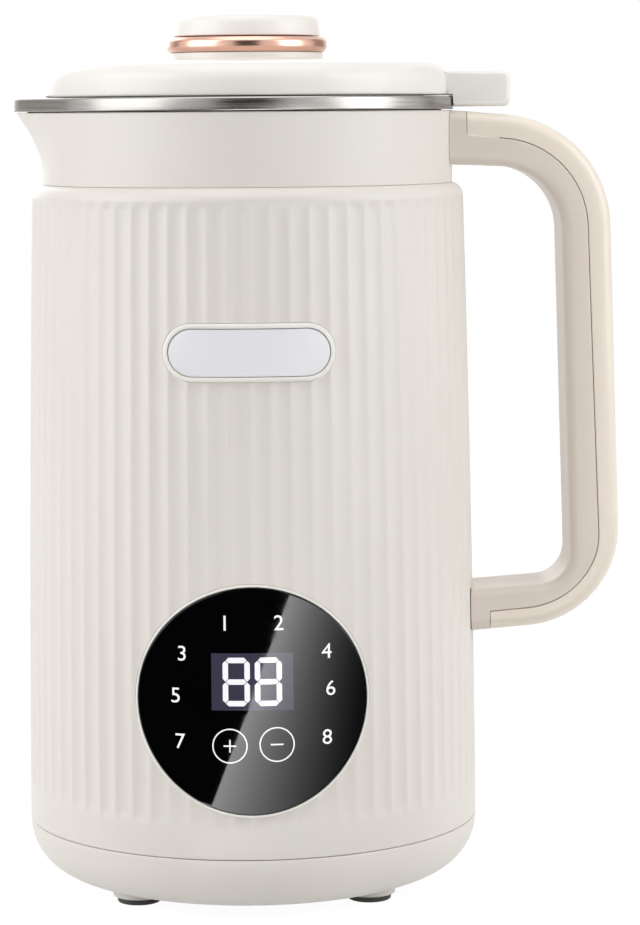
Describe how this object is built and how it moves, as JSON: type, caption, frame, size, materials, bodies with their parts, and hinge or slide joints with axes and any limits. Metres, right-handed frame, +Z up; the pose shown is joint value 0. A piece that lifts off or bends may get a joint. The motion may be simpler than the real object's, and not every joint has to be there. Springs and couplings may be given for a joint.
{
  "type": "soy milk maker",
  "caption": "Upright ribbed soy milk maker with a touch panel, side handle, stainless jug with spout and blades, motor in the base and a lift-off lid.",
  "frame": {"origin": "middle of the ground under the machine, between the spout tip and the handle", "axes": "+Z up, -Y towards the front with the touch panel, +X towards the handle, -X towards the spout"},
  "size_m": [0.1682, 0.1282, 0.2436],
  "materials": {
    "body_cream": "satin",
    "trim_cream": "satin",
    "handle_body_cream": "satin",
    "handle_cover_cream": "satin",
    "lid_white": "soft gloss",
    "badge_silver": "satin",
    "black_glass": "gloss",
    "foot_rubber": "matte",
    "silicone": "matte",
    "stainless": "brushed",
    "plain_steel": "machined",
    "lamination": "stacked sheet",
    "magnet_grey": "plated",
    "copper": "enamelled",
    "pin_brass": "polished",
    "rose_gold": "polished",
    "cast_aluminium": "cast",
    "black_plastic": "matte",
    "grey_plastic": "matte",
    "board_green": "lacquered",
    "relay_blue": "satin",
    "graphite": "matte"
  },
  "bodies": {
    "body": {"outer_shell": "body_cream", "base_cover": "body_cream", "foot_pad_1": "foot_rubber", "foot_pad_2": "foot_rubber", "foot_pad_3": "foot_rubber", "foot_pad_4": "foot_rubber", "base_screw_1": "plain_steel", "base_screw_2": "plain_steel", "base_screw_3": "plain_steel", "upper_collar": "body_cream", "inner_jug": "stainless", "handle_body": "handle_body_cream", "handle_cover": "handle_cover_cream", "handle_screw_upper": "plain_steel", "handle_screw_lower": "plain_steel", "reed_switch": "black_plastic", "control_bezel": "trim_cream", "control_window": "black_glass", "display_board": "board_green", "display_module": "grey_plastic", "badge_frame": "trim_cream", "badge_plate": "badge_silver", "inlet_socket": "black_plastic", "inlet_pin_earth": "pin_brass", "inlet_pin_live": "pin_brass", "inlet_pin_neutral": "pin_brass", "motor_frame": "grey_plastic", "brush_bracket": "cast_aluminium", "stator_core": "lamination", "field_coil_right": "copper", "field_coil_left": "copper", "upper_bearing": "plain_steel", "lower_bearing": "plain_steel", "carbon_brush_right": "graphite", "carbon_brush_left": "graphite", "motor_bolt_right": "plain_steel", "motor_bolt_left": "plain_steel", "power_board": "board_green", "relay": "relay_blue", "heater_plate": "cast_aluminium", "heating_ring": "plain_steel", "thermostat": "black_plastic", "temperature_sensor": "plain_steel", "seal_housing": "stainless", "shaft_seal": "foot_rubber", "seal_nut": "plain_steel"},
    "rotor": {"rotor_shaft": "plain_steel", "rotor_core": "lamination", "armature_winding": "copper", "commutator": "copper", "cooling_fan": "black_plastic", "blade_lower": "stainless", "blade_upper": "stainless", "blade_nut": "stainless"},
    "lid": {"lid_cover": "lid_white", "tab_magnet": "magnet_grey", "lid_liner": "stainless", "lid_seal": "silicone", "knob_ring": "rose_gold", "knob_cap": "lid_white"}
  },
  "joints": [
    {"name": "blade_spin", "type": "hinge", "parent": "body", "child": "rotor", "pos_m": [-0.0191, 0, 0.1], "axis": [0, 0, 1], "continuous": true},
    {"name": "lid_lift", "type": "slide", "parent": "body", "child": "lid", "axis": [0, 0, 1], "range_m": [0, 0.09]}
  ]
}
